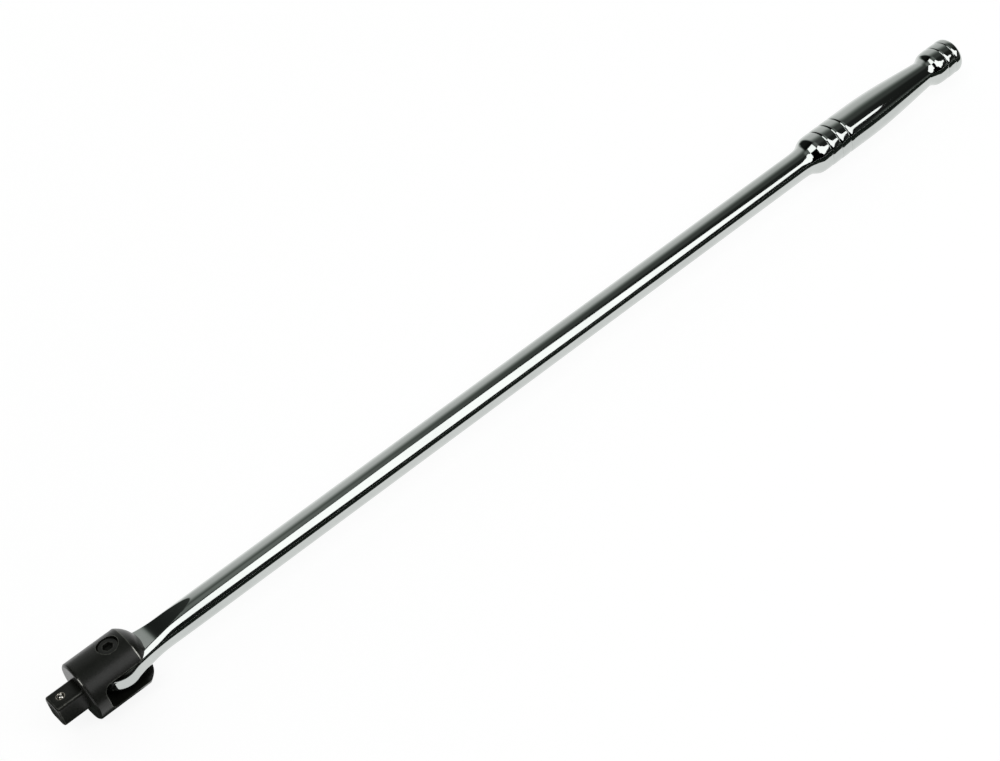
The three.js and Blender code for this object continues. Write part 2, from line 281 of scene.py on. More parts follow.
# [place, radius] stops, in millimetres
SHOULDER = [
    [503.5, 8.15], [507.5, 8.24], [510, 8.45], [511.8, 8.83], [513.2, 9.38], [515, 10.3],
    [516.4, 10.95], [517.7, 11.33], [519.2, 11.52], [522, 11.63], [526, 11.7],
]
KNOB_RISE = [
    [609.5, 8.15], [611.2, 8.3], [612.8, 8.7], [614.1, 9.27], [615.2, 9.83], [616.5, 10.31],
    [618.3, 10.58], [621.5, 10.68],
]

# [place, value] stops of the neck's height above the axis and of the rounding of its edges, in
# millimetres
NECK_CROWN = [
    [42, 5.75], [47, 5.8], [51, 6.1], [55, 6.25], [59, 6.6], [64, 7.3],
    [68, 7.7], [72, 7.9], [76, 8.0], [80, 8.07], [89, 8.15],
]
NECK_ROUNDING = [
    [42, 3.6], [47, 4.3], [51, 5.0], [55, 5.5], [59, 6.1], [64, 7.1],
    [68, 7.6], [72, 7.85], [76, 7.98], [80, 8.06], [89, 8.15],
]


def turned_radius(x):
    """Radius of the round length: shaft, S-shaped shoulder and collar, then a belly that falls as
    t^2 (1.75 - 0.75 t), then waist and knob with a quarter-round edge, less the grooves."""
    t = np.clip((x - BELLY_START) / (WAIST - BELLY_START), 0, 1)
    belly = COLLAR_RADIUS + (SHAFT_RADIUS - COLLAR_RADIUS) * t * t * (1.75 - 0.75 * t)
    past = np.clip(x - (LENGTH - KNOB_EDGE), 0, KNOB_EDGE)
    edge = KNOB_EDGE - np.sqrt(KNOB_EDGE ** 2 - past ** 2)
    shoulder = MM * smooth_curve(x / MM, SHOULDER)
    knob = MM * smooth_curve(x / MM, KNOB_RISE) - edge
    return np.where(x < BELLY_START, shoulder, np.where(x < WAIST, belly, knob)) - groove_depth(x)


def groove_depth(x):
    """Depth of the turned grooves and of the crowned lands between them."""
    depth = np.zeros_like(x)
    for places, deepest, ease, fall in GROOVE_ROWS:
        for place in places:
            depth = np.maximum(depth, one_groove(x - place, deepest, ease))
            depth = np.maximum(depth, land_fall(x - place, fall))
    return depth


def one_groove(away, deepest, ease):
    """Steep near wall almost a millimetre long, then a far side that eases out as (1 - s)^6."""
    share = np.clip(away / ease, 0, 1)
    near_wall = np.clip((away + GROOVE_WALL_START) / GROOVE_WALL, 0, 1)
    return deepest * (1 - share) ** 6 * near_wall


def land_fall(away, fall):
    """The last few millimetres before a groove fall away as s^2."""
    share = np.clip(1 + away / LAND, 0, 1)
    return np.where(away > 0, 0, fall * share ** 2)


def neck_half_width(x):
    """Concave sweep from the eye circle to the shaft: a cubic with the circle's slope at its start
    and no slope at its end."""
    offset = NECK_START - PIVOT_X
    width = np.sqrt(EYE_RADIUS ** 2 - offset ** 2)
    slope = -offset / width
    span = NECK_END - NECK_START
    t = np.clip((x - NECK_START) / span, 0, 1)
    return SHAFT_RADIUS + (1 - t) ** 2 * ((width - SHAFT_RADIUS) * (1 + 2 * t) + slope * span * t)


def outline_half_width(x, inset):
    """Half-width of the bar seen along the pivot, drawn in by inset: eye circle, then the neck. The
    place where they meet moves towards the pivot as the outline is drawn in."""
    circle = np.sqrt(np.clip((EYE_RADIUS - inset) ** 2 - (x - PIVOT_X) ** 2, 0, None))
    neck = neck_half_width(x) - inset
    return np.where(x < NECK_START - NECK_LEAN * inset, circle, np.maximum(neck, 0))


def drawn_in(up, rounding):
    """How far a quarter circle of that radius draws an outline in, at a height above its start."""
    return rounding - np.sqrt(np.clip(rounding ** 2 - up ** 2, 0, None))


def bar_stations():
    """Places of the rings along the bar, close together where its outline turns: round the nose of
    the eye by angle, then in even spans that each have an end and a count, then round the knob's
    edge by angle."""
    nose = BAR_START + EYE_RADIUS * (1 - np.cos(np.linspace(0, 1, 34) ** 1.2 * np.radians(62)))
    rings = [nose]
    for end, count in (
        (NECK_END, 96),
        (RAMP_END + 8 * MM, 60),
        (GRIP_START - 2 * MM, 14),
        (GRIP_START + 17 * MM, 54),
        (COLLAR_GROOVES[-1] + 5 * MM, 150),
        (WAIST - MM, 34),
        (LENGTH - KNOB_EDGE, 130),
    ):
        rings.append(np.linspace(rings[-1][-1], end, count)[1:])
    rings.append(LENGTH - KNOB_EDGE + KNOB_EDGE * np.sin(np.linspace(0, 1, 10)[1:] * np.pi / 2))
    return np.concatenate(rings)


def ring_angles(x, limit, crown, rounding, count):
    """Angles of the points of each ring. One line of points follows the crease where a flat meets
    the side, and settles at an even angle where the bar becomes round."""
    above = np.clip(limit - (crown - rounding), 0, rounding)
    side = outline_half_width(x, drawn_in(above, rounding))
    crease = np.arctan2(np.minimum(limit, SHAFT_RADIUS), side)
    follow = 1 - smoothstep(x, RAMP_END - 9 * MM, RAMP_END + 7.5 * MM)
    crease = np.clip(crease, np.radians(15), np.radians(78)) * follow + np.radians(58) * (1 - follow)

    quarter = count // 4
    share = np.arange(quarter) / quarter
    pinned = 0.55
    low_part = crease * share / pinned
    high_part = crease + (np.pi / 2 - crease) * (share - pinned) / (1 - pinned)
    first = np.where(share < pinned, low_part, high_part)
    mirrored = (np.pi / 2 - first)[:, ::-1][:, :-1]
    second = np.pi / 2 + np.concatenate([np.zeros_like(x), mirrored], axis=1)
    half = np.concatenate([first, second], axis=1)
    return np.concatenate([half, half + np.pi], axis=1)


def bar_grid(count=160):
    """Ring points of the bar.

    Behind the ramps a ring is a circle of the turned radius. In front of them the half-width at
    height z is the outline drawn in by a rounding that grows like a quarter circle above
    (crown - rounding); the point at each angle is where a ray from the axis leaves that section,
    found by halving. Two flats and their ramps then cut the ring at |z| = limit.
    """
    x = bar_stations()[:, None]
    rise = (SHAFT_RADIUS - EYE_HALF_THICKNESS) / (RAMP_END - FLAT_END)
    past = x - FLAT_END
    soft = 0.5 * (past + np.sqrt(past ** 2 + RAMP_SOFTNESS ** 2))
    no_flat = 1.0
    limit = np.where(x > RAMP_END, no_flat, EYE_HALF_THICKNESS + rise * soft)
    crown = MM * smooth_curve(x / MM, NECK_CROWN)
    rounding = MM * smooth_curve(x / MM, NECK_ROUNDING)
    angle = ring_angles(x, limit, crown, rounding, count)

    cosine, sine = np.abs(np.cos(angle)), np.abs(np.sin(angle))
    low = np.zeros_like(angle)
    high = np.full_like(angle, 20 * MM)
    for _ in range(44):
        middle = 0.5 * (low + high)
        up = np.clip(middle * sine - (crown - rounding), 0, None)
        too_wide = middle * cosine > outline_half_width(x, drawn_in(up, rounding))
        outside = (up > rounding) | too_wide
        high = np.where(outside, middle, high)
        low = np.where(outside, low, middle)
    flat = limit / np.maximum(sine, 1e-6)
    forged = np.minimum(low, flat)
    plain = np.minimum(turned_radius(x), flat)
    blend = smoothstep(x, FORGED_END, TURNED_START)
    radius = forged * (1 - blend) + plain * blend
    return around_x(x, radius, angle)


def build_handle_bar():
    """Bar with the pivot's bore through its eye and the detent's pocket in its nose, which narrows
    to a lip so that the ball stays in."""
    bar = surface("handle_bar_chromed", bar_grid(), sharp=24)
    bore_profile = [[-9 * MM, SHOULDER_BORE], [9 * MM, SHOULDER_BORE]]
    bore = surface("bore", turned(bore_profile, 64, "Z", (PIVOT_X, 0, 0)))
    clearance = 0.1 * MM
    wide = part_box("detent_ball")[1].y + clearance
    narrow = wide - 0.25 * MM
    lip = BAR_START + clearance
    pocket_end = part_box("detent_spring")[1].x + clearance
    pocket_profile = [[BAR_START - MM, narrow], [lip, narrow], [lip + 0.45 * MM, wide], [pocket_end, wide]]
    pocket = surface("pocket", turned(pocket_profile, 40, "X"))
    return combine(bar, [bore, pocket], "DIFFERENCE", sharp=24)


# ---------------------------------------------------------------- drive head
HEAD_SHOULDER = 44.8 * MM


def head_profile():
    """Outline of the turned head: flat face, bevelled rim, barrel, crisp rear edge and dome."""
    t = np.linspace(0, 1, 26)
    rear_radius = 7.2 * MM
    bevel = 0.9 * MM
    bulge = 1.15 * MM * np.sin(np.pi * t)
    dome = np.stack([
        HEAD_SHOULDER + (HEAD_REAR - HEAD_SHOULDER) * t + 0.55 * bulge,
        HEAD_RADIUS + (rear_radius - HEAD_RADIUS) * t + 0.75 * bulge,
    ], axis=-1)
    dome[:, 0] = np.minimum(dome[:, 0], HEAD_REAR)
    front = rounded([
        [SQUARE_LENGTH, 3 * MM],
        [SQUARE_LENGTH, HEAD_RADIUS - bevel],
        [SQUARE_LENGTH + bevel, HEAD_RADIUS],
        [HEAD_SHOULDER, HEAD_RADIUS],
        dome[3],
    ], 0.35 * MM)[:-1]
    rear = rounded([dome[-2], [HEAD_REAR, rear_radius * 0.98], [HEAD_REAR, 0.5 * MM]], 0.3 * MM)[1:]
    return densify(np.vstack([front, dome[3:-1], rear]), 0.9 * MM)


def square_grid(count=96):
    """Drive square: at each place along X a square with rounded corners, in polar form. The radius
    at an angle is the smaller of the flat's and the corner arc's, and the end is drawn in as a
    shallow rounded bevel."""
    corner = 2.0 * MM
    bevel = 1.25 * MM
    t = np.linspace(0, 1, 9)
    bevel_place = bevel * (1 - np.cos(t * np.pi / 2)) * 0.9
    place = np.concatenate([bevel_place, [SQUARE_LENGTH, SQUARE_LENGTH + 2 * MM]])
    inset = np.concatenate([bevel * (1 - np.sin(t * np.pi / 2)), [0.0, 0.0]])
    angle = (np.arange(count) + 0.5) * TAU / count
    folded = np.abs((angle + np.pi / 4) % (np.pi / 2) - np.pi / 4)
    half = SQUARE_HALF - inset[:, None]
    arc = np.minimum(corner, half * 0.6)
    flat = half / np.cos(folded)
    centre = (half - arc) * np.sqrt(2)
    turn = np.pi / 4 - folded
    past_centre = np.sqrt(np.clip(arc ** 2 - (centre * np.sin(turn)) ** 2, 0, None))
    round_part = centre * np.cos(turn) + past_centre
    on_arc = flat * np.sin(folded) > half - arc
    radius = np.where(on_arc, round_part, flat)
    return around_x(place[:, None], radius, angle)


def slot_grid(steps=10):
    """Cutter for the fork: a slot outline in X and Z with two rounded floor corners, carried along Y."""
    end = HEAD_REAR + 8 * MM
    turn = np.linspace(0, np.pi / 2, steps)
    corner_x = SLOT_FLOOR + SLOT_CORNER * (1 - np.sin(turn))
    corner_z = SLOT_HALF - SLOT_CORNER * (1 - np.cos(turn))
    upper = np.stack([corner_x, corner_z], axis=-1)
    lower = upper[::-1] * [1, -1]
    outline = np.vstack([[end, SLOT_HALF], upper, lower, [end, -SLOT_HALF]])
    reach = HEAD_RADIUS + 6 * MM
    sides = np.array([-reach, reach])[:, None]
    return np.stack(np.broadcast_arrays(outline[:, 0], sides, outline[:, 1]), axis=-1)


def build_drive_head():
    """Turned head joined to its square, then cut by the fork's slot, by the screw's thread, bore and
    counterbore, and by the socket ball's hole, which narrows to a staked lip."""
    head = surface("drive_head_blackened", turned(head_profile(), 160, "X"), sharp=22)
    square = surface("square", square_grid(), sharp=40)
    combine(head, [square], "UNION")
    slot = surface("slot", slot_grid())
    above = HEAD_RADIUS + 2 * MM
    thread_end = -9.1 * MM
    screw_profile = [
        [-above, THREAD_BORE], [thread_end, THREAD_BORE], [thread_end, SHOULDER_BORE],
        [SCREW_SEAT, SHOULDER_BORE], [SCREW_SEAT, COUNTERBORE], [above, COUNTERBORE],
    ]
    screw_way = surface("screw_way", turned(screw_profile, 72, "Z", (PIVOT_X, 0, 0)))
    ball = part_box("socket_ball")[1].y
    hole = ball + 0.1 * MM
    mouth = ball - 0.15 * MM
    face = SQUARE_HALF
    ball_profile = [
        [-1.0 * MM, hole], [face - 0.75 * MM, hole], [face - 0.3 * MM, mouth],
        [face - 0.12 * MM, mouth], [face + 0.02 * MM, mouth + 0.16 * MM], [face + MM, mouth + 0.2 * MM],
    ]
    ball_way = surface("ball_way", turned(ball_profile, 48, "Z", (BALL_X, 0, 0)))
    return combine(head, [slot, screw_way, ball_way], "DIFFERENCE", sharp=22)


# ---------------------------------------------------------------- pivot screw and washers
def hexagon(angle, across):
    """Distance to the edge of a hexagon of that width across its flats, at each angle."""
    folded = (angle % (np.pi / 3)) - np.pi / 6
    return 0.5 * across / np.cos(folded)


def build_pivot_screw():
    """Socket-head shoulder screw as one run of rings: a triangular thread that climbs one pitch each
    turn, relief, shoulder, head, hexagon socket and the drill point at its bottom."""
    low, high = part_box("pivot_screw")
    seat = SCREW_SEAT + 0.05 * MM
    thread_top = -9.05 * MM
    thread_root, thread_depth, pitch = 2.45 * MM, 0.5 * MM, 1.0 * MM
    shoulder, head_radius, rim = 4.0 * MM, 5.2 * MM, 3.6 * MM
    socket_across, socket_floor = 5.0 * MM, high.z - 2.6 * MM
    count = 96
    angle = (np.arange(count) + 0.5) * TAU / count
    z = np.linspace(low.z, thread_top - 0.8 * MM, 56)
    phase = (z[:, None] / pitch + angle / TAU) % 1.0
    lead = smoothstep(z, low.z, low.z + 1.2 * MM)[:, None]
    thread = thread_root + thread_depth * lead * (1 - np.abs(2 * phase - 1))
    rows = [around_z(z[:, None], thread, angle)]
    body = rounded([
        [thread_top - 0.7 * MM, thread_root], [thread_top, thread_root], [thread_top, shoulder],
        [seat, shoulder], [seat, head_radius], [high.z, head_radius], [high.z, rim],
    ], 0.35 * MM, 6)
    rows.append(turned(body, count, "Z"))
    socket = [
        [high.z, 1.03], [high.z - 0.1 * MM, 1.0], [socket_floor + 0.05 * MM, 1.0], [socket_floor, 0.9],
    ]
    for place, share in socket:
        rows.append(around_z(place, hexagon(angle, socket_across) * share, angle)[None])
    rows.append(turned([[socket_floor, 2.0 * MM], [socket_floor - 0.7 * MM, 0.2 * MM]], count, "Z"))
    grid = np.concatenate(rows, axis=0) + np.array([PIVOT_X, 0, 0])
    return surface("pivot_screw_blackened", grid, sharp=28)


def build_washer(node, name):
    """Spring washer: a flat ring with eased edges whose height waves three times round."""
    low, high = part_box(node)
    middle = 0.5 * (low.z + high.z)
    inner, outer, half, wave = 4.4 * MM, 8.55 * MM, 0.29 * MM, 0.58 * MM
    ease = 0.12 * MM
    section = np.array([
        [inner, -half + ease], [inner + ease, -half], [outer - ease, -half], [outer, -half + ease],
        [outer, half - ease], [outer - ease, half], [inner + ease, half], [inner, half - ease],
    ])
    angle = np.arange(120)[:, None] * TAU / 120
    lift = middle + section[:, 1] + wave * np.cos(3 * angle)
    grid = around_z(lift, section[:, 0], angle) + np.array([PIVOT_X, 0, 0])
    return loop_surface(name, grid, sharp=25)


# ---------------------------------------------------------------- balls and springs
def build_ball(node, name):
    """Ball that fills the CAD ball's box, as rings from pole to pole."""
    low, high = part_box(node)
    centre = 0.5 * (low + high)
    radius = 0.5 * (high.z - low.z)
    turn = np.linspace(0.02, np.pi - 0.02, 40)
    profile = np.stack([-radius * np.cos(turn), radius * np.sin(turn)], axis=-1)
    return surface(name, turned(profile, 64, "Z", tuple(centre)), sharp=60)


def build_spring(node, name, axis, outer, wire, turns):
    """Coil spring: a round wire carried along a helix whose pitch is closer at both ends, inside the
    CAD spring's box and short of the ball by the ball's room to move."""
    low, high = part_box(node)
    centre = 0.5 * (low + high)
    start, end = (low.z, high.z - BALL_ROOM) if axis == "Z" else (low.x + BALL_ROOM, high.x)
    steps_per_turn, sides = 36, 14
    t = np.linspace(0, 1, int(turns * steps_per_turn))
    angle = TAU * turns * t
    climb = smoothstep(t, 0.0, 1.0) * 0.35 + t * 0.65
    along = start + wire + (end - start - 2 * wire) * climb
    pitch_radius = outer - wire
    path = np.stack([pitch_radius * np.cos(angle), pitch_radius * np.sin(angle), along], axis=-1)
    tangent = np.gradient(path, axis=0)
    tangent /= np.linalg.norm(tangent, axis=1)[:, None]
    outward = np.stack([np.cos(angle), np.sin(angle), 0 * angle], axis=-1)
    side = np.cross(tangent, outward)
    ring = np.arange(sides) * TAU / sides
    grid = path[:, None] + wire * (np.cos(ring)[None, :, None] * outward[:, None]
                                   + np.sin(ring)[None, :, None] * side[:, None])
    if axis == "Z":
        grid += np.array([centre.x, centre.y, 0])
    else:
        grid = np.stack([grid[..., 2], grid[..., 1] + centre.y, grid[..., 0] + centre.z], axis=-1)
    return surface(name, grid, sharp=50)


# ---------------------------------------------------------------- shader groups
def new_group(name, inputs, outputs):
    """Empty shader node group with float or vector sockets, and its input and output nodes."""
    group = bpy.data.node_groups.new(name, "ShaderNodeTree")
    kinds = {"value": "NodeSocketFloat", "vector": "NodeSocketVector"}
    for label, kind in inputs:
        group.interface.new_socket(label, in_out="INPUT", socket_type=kinds[kind])
    for label, kind in outputs:
        group.interface.new_socket(label, in_out="OUTPUT", socket_type=kinds[kind])
    return group, group.nodes.new("NodeGroupInput"), group.nodes.new("NodeGroupOutput")


def feed(tree, socket, value):
    """Sets an input socket from another socket, a number or a colour."""
    if isinstance(value, bpy.types.NodeSocket):
        tree.links.new(value, socket)
    else:
        socket.default_value = value


def math_node(tree, operation, *values):
    """Math node whose inputs are sockets or numbers; returns its output."""
    node = tree.nodes.new("ShaderNodeMath")
    node.operation = operation
    for socket, value in zip(node.inputs, values):
        feed(tree, socket, value)
    return node.outputs[0]


def two_way(operation):
    """Function that makes one kind of math node from two sockets or numbers."""
    def make(tree, first, second):
        return math_node(tree, operation, first, second)
    return make


plus = two_way("ADD")
minus = two_way("SUBTRACT")
times = two_way("MULTIPLY")
larger = two_way("MAXIMUM")
smaller = two_way("MINIMUM")


def noise(tree, vector, scale, detail=3.0, roughness=0.55, stretch=(1, 1, 1)):
    """Noise of about that many grains a metre. Each axis is scaled by its factor in stretch first,
    so a factor below 1 draws the grains out along that axis."""
    mapping = tree.nodes.new("ShaderNodeMapping")
    mapping.inputs["Scale"].default_value = stretch
    tree.links.new(vector, mapping.inputs["Vector"])
    node = tree.nodes.new("ShaderNodeTexNoise")
    node.inputs["Scale"].default_value = scale
    node.inputs["Detail"].default_value = detail
    node.inputs["Roughness"].default_value = roughness
    tree.links.new(mapping.outputs["Vector"], node.inputs["Vector"])
    return node.outputs["Fac"]


def ramp(tree, value, low, high, out_low, out_high):
    """Value taken smoothly from one range to another and held at its ends."""
    node = tree.nodes.new("ShaderNodeMapRange")
    node.interpolation_type = "SMOOTHSTEP"
    tree.links.new(value, node.inputs["Value"])
    for label, number in (("From Min", low), ("From Max", high), ("To Min", out_low), ("To Max", out_high)):
        node.inputs[label].default_value = number
    return node.outputs["Result"]


def mix_colour(tree, factor, first, second):
    """Mix of two colours or sockets by a factor; returns its output. The colours are the node's
    inputs 6 and 7, and the mixed colour its output 2."""
    node = tree.nodes.new("ShaderNodeMix")
    node.data_type = "RGBA"
    for socket, value in ((node.inputs[0], factor), (node.inputs[6], first), (node.inputs[7], second)):
        feed(tree, socket, value)
    return node.outputs[2]


def edge_wear_group():
    """Mask that is 1 on an edge with wear: a distance from the edge, in metres, that falls to 0 over
    Reach, with the reach varied by a coarse grain so that the line is uneven."""
    inputs = [("Vector", "vector"), ("Distance", "value"), ("Reach", "value"), ("Grain", "value")]
    group, entry, leave = new_group("edge_wear", inputs, [("Mask", "value")])
    grain = group.nodes.new("ShaderNodeTexNoise")
    grain.inputs["Detail"].default_value = 3.0
    group.links.new(entry.outputs["Vector"], grain.inputs["Vector"])
    group.links.new(entry.outputs["Grain"], grain.inputs["Scale"])
    uneven = ramp(group, grain.outputs["Fac"], 0.3, 0.7, 0.35, 1.3)
    reach = times(group, uneven, entry.outputs["Reach"])
    share = math_node(group, "DIVIDE", entry.outputs["Distance"], reach)
    group.links.new(ramp(group, share, 0.3, 1.0, 1.0, 0.0), leave.inputs["Mask"])
    return group


def handling_group():
    """Faint marks of use: long fine hairlines along X, and soft smudges. Both outputs are masks."""
    outputs = [("Hairlines", "value"), ("Smudge", "value")]
    group, entry, leave = new_group("handling", [("Vector", "vector")], outputs)
    vector = entry.outputs["Vector"]
    fine = noise(group, vector, 900.0, 2.0, 0.6, (0.035, 1.0, 1.0))
    group.links.new(ramp(group, fine, 0.58, 0.72, 0.0, 1.0), leave.inputs["Hairlines"])
    broad = noise(group, vector, 38.0, 4.0, 0.6)
    group.links.new(ramp(group, broad, 0.42, 0.68, 0.0, 1.0), leave.inputs["Smudge"])
    return group


EDGE_WEAR = edge_wear_group()
HANDLING = handling_group()


def new_material(name):
    """Material with its tree, its Principled shader and Object coordinates."""
    material = bpy.data.materials.new(name)
    material.use_nodes = True
    tree = material.node_tree
    shader = tree.nodes["Principled BSDF"]
    coordinates = tree.nodes.new("ShaderNodeTexCoord").outputs["Object"]
    return material, tree, shader, coordinates


def use_group(tree, group, vector, **values):
    """Group node fed with a vector and with sockets or numbers by name; returns its outputs."""
    node = tree.nodes.new("ShaderNodeGroup")
    node.node_tree = group
    tree.links.new(vector, node.inputs["Vector"])
    for label, value in values.items():
        feed(tree, node.inputs[label], value)
    return node.outputs


def bump(tree, shader, height, strength, distance):
    """Bump from a height socket into the shader's normal."""
    node = tree.nodes.new("ShaderNodeBump")
    node.inputs["Strength"].default_value = strength
    node.inputs["Distance"].default_value = distance
    tree.links.new(height, node.inputs["Height"])
    tree.links.new(node.outputs["Normal"], shader.inputs["Normal"])


def chrome_material():
    """Polished chrome plate: faint smudges and hairlines in the gloss, slight forging waviness, and
    painted shade: the eye's faces inside the fork are nearly black, as the fork's walls shade them."""
    material, tree, shader, where = new_material("polished_chrome")
    shader.inputs["Metallic"].default_value = 1.0
    marks = use_group(tree, HANDLING, where)
    tint = mix_colour(tree, marks["Smudge"], (0.575, 0.60, 0.582, 1), (0.54, 0.565, 0.548, 1))
    # painted shade: the eye's faces inside the fork are painted nearly black and a little rougher
    fork_shade = fork_shade_mask(tree, where)
    tint = mix_colour(tree, fork_shade, tint, (0.022, 0.024, 0.021, 1))
    tree.links.new(tint, shader.inputs["Base Color"])
    rough = plus(tree, times(tree, marks["Smudge"], 0.025), times(tree, marks["Hairlines"], 0.05))
    rough = plus(tree, rough, times(tree, fork_shade, 0.25))
    tree.links.new(plus(tree, rough, 0.045), shader.inputs["Roughness"])
    waves = noise(tree, where, 60.0, 2.0, 0.5, (0.25, 1.0, 1.0))
    height = plus(tree, waves, times(tree, marks["Hairlines"], -0.01))
    bump(tree, shader, height, 0.25, 0.00012)
    return material


def fork_shade_mask(tree, where):
    """1 on both faces of the eye, inside the fork only: painted shade, nearly black, where the fork's
    walls shade them.
    """
    x, _, z = split(tree, where)
    height = math_node(tree, "ABSOLUTE", z)
    inside = ramp(tree, x, 44.0 * MM, 45.6 * MM, 1.0, 0.0)
    return times(tree, inside, ramp(tree, height, 2.7 * MM, 3.5 * MM, 0.0, 1.0))


def split(tree, vector):
    """X, Y and Z of a vector socket."""
    apart = tree.nodes.new("ShaderNodeSeparateXYZ")
    tree.links.new(vector, apart.inputs["Vector"])
    return apart.outputs["X"], apart.outputs["Y"], apart.outputs["Z"]


def away_from(tree, value, target):
    """Distance of a value from a number."""
    return math_node(tree, "ABSOLUTE", minus(tree, value, target))


def length_of(tree, first, second):
    """Length of a two-part vector."""
    squares = plus(tree, times(tree, first, first), times(tree, second, second))
    return math_node(tree, "SQRT", squares)


def head_edge_distance(tree, where):
    """Distance to the nearest edge of the drive head that carries wear.

    The edges are the rim behind the square, the rear rim, the mouth of the fork slot, the screw's
    counterbore, and the four long edges and the end of the square.
    """
    x, y, z = split(tree, where)
    barrel = away_from(tree, length_of(tree, y, z), HEAD_RADIUS)
    front = length_of(tree, away_from(tree, x, SQUARE_LENGTH + 0.35 * MM), barrel)
    rear = length_of(tree, away_from(tree, x, HEAD_SHOULDER), barrel)

    # mouth of the slot: its outline has rounded floor corners in X and Z
    height = math_node(tree, "ABSOLUTE", z)
    into_corner_x = larger(tree, minus(tree, SLOT_FLOOR + SLOT_CORNER, x), 0.0)
    into_corner_z = larger(tree, minus(tree, height, SLOT_HALF - SLOT_CORNER), 0.0)
    slot = away_from(tree, length_of(tree, into_corner_x, into_corner_z), SLOT_CORNER)
    mouth = length_of(tree, slot, barrel)

    # the counterbore is above only, so a metre is added below
    from_pivot = length_of(tree, minus(tree, x, PIVOT_X), y)
    below = math_node(tree, "LESS_THAN", z, 0.0)
    bored = length_of(tree, away_from(tree, from_pivot, COUNTERBORE), plus(tree, barrel, below))

    # the square's edges are in front only, so a metre is added behind
    behind = math_node(tree, "GREATER_THAN", x, SQUARE_LENGTH - 0.6 * MM)
    wide = math_node(tree, "ABSOLUTE", y)
    short_of_corner = minus(tree, SQUARE_HALF - 0.5 * MM, smaller(tree, wide, height))
    long_edge = plus(tree, larger(tree, short_of_corner, 0.0), behind)
    side = away_from(tree, larger(tree, wide, height), SQUARE_HALF)
    end_edge = length_of(tree, away_from(tree, x, 0.9 * MM), side)
    nearest = front
    for other in (rear, mouth, bored, long_edge, end_edge):
        nearest = smaller(tree, nearest, other)
    return nearest


def phosphate_material():
    """Oiled black phosphate on forged steel: dark grey-brown, fine grained and lighter with wear on edges,
    with bright bare steel where the lip round the socket ball was staked. Two short stretches of the
    rims carry painted highlights, nearly white, where they glint."""
    material, tree, shader, where = new_material("black_phosphate")
    edge = head_edge_distance(tree, where)
    wear = use_group(tree, EDGE_WEAR, where, Distance=edge, Reach=0.42 * MM, Grain=700.0)["Mask"]
    broad = noise(tree, where, 120.0, 5.0, 0.65)
    fine = noise(tree, where, 2600.0, 3.0, 0.7)
    tone = mix_colour(tree, broad, (0.0045, 0.0055, 0.0042, 1), (0.0115, 0.012, 0.0095, 1))
    speck = mix_colour(tree, ramp(tree, fine, 0.4, 0.75, 0.0, 0.3), tone, (0.026, 0.026, 0.022, 1))
    wear_and_glint = mix_colour(tree, times(tree, wear, 0.55), speck, (0.22, 0.225, 0.20, 1))
    # painted highlight: two short stretches of the rims are painted nearly white as glints
    rim_glint = painted_rim_glint_mask(tree, where)
    wear_and_glint = mix_colour(tree, rim_glint, wear_and_glint, (0.78, 0.78, 0.72, 1))
    lip = staked_lip_mask(tree, where)
    tree.links.new(mix_colour(tree, lip, wear_and_glint, (0.62, 0.57, 0.50, 1)), shader.inputs["Base Color"])
    metal = larger(tree, times(tree, wear, 0.7), lip)
    tree.links.new(larger(tree, metal, 0.1), shader.inputs["Metallic"])
    rough = plus(tree, times(tree, broad, 0.14), 0.25)
    rough = minus(tree, rough, times(tree, lip, 0.2))
    tree.links.new(rough, shader.inputs["Roughness"])
    height = plus(tree, times(tree, fine, 0.35), broad)
    bump(tree, shader, height, 0.35, 0.00008)
    return material


def painted_rim_glint_mask(tree, where):
    """1 on two short stretches of the head's rims painted bright as highlights, where the rims glint:
    distance from the middle point of each stretch, and distance from the rim's own edge. A stretch is
    its place along X, its radius, its angle above the camera's side in degrees, and its reach."""
    x, y, z = split(tree, where)
    from_axis = length_of(tree, y, z)
    mask = 0.0
    stretches = (
        (SQUARE_LENGTH + 0.4 * MM, HEAD_RADIUS - 0.4 * MM, 61.0, 2.7 * MM),
        (HEAD_SHOULDER + 0.1 * MM, HEAD_RADIUS - 0.1 * MM, 45.0, 4.3 * MM),
    )
    for place, radius, turn, reach in stretches:
        barrel = away_from(tree, from_axis, radius)
        middle_y = -HEAD_RADIUS * np.cos(np.radians(turn))
        middle_z = HEAD_RADIUS * np.sin(np.radians(turn))
        along = length_of(tree, away_from(tree, y, middle_y), away_from(tree, z, middle_z))
        off = length_of(tree, away_from(tree, x, place), barrel)
        spot = times(tree, ramp(tree, along, 0.45 * reach, reach, 1.0, 0.0),
                     ramp(tree, off, 0.18 * MM, 0.36 * MM, 1.0, 0.0))
        mask = larger(tree, mask, spot)
    return mask


def staked_lip_mask(tree, where):
    """1 close round the socket ball's axis, on the upper flat of the square only."""
    x, y, z = split(tree, where)
    distance = length_of(tree, minus(tree, x, BALL_X), y)
    ring = ramp(tree, distance, 2.2 * MM, 2.42 * MM, 1.0, 0.0)
    raised = ramp(tree, z, SQUARE_HALF - 0.5 * MM, SQUARE_HALF - 0.2 * MM, 0.0, 1.0)
    return times(tree, ring, raised)


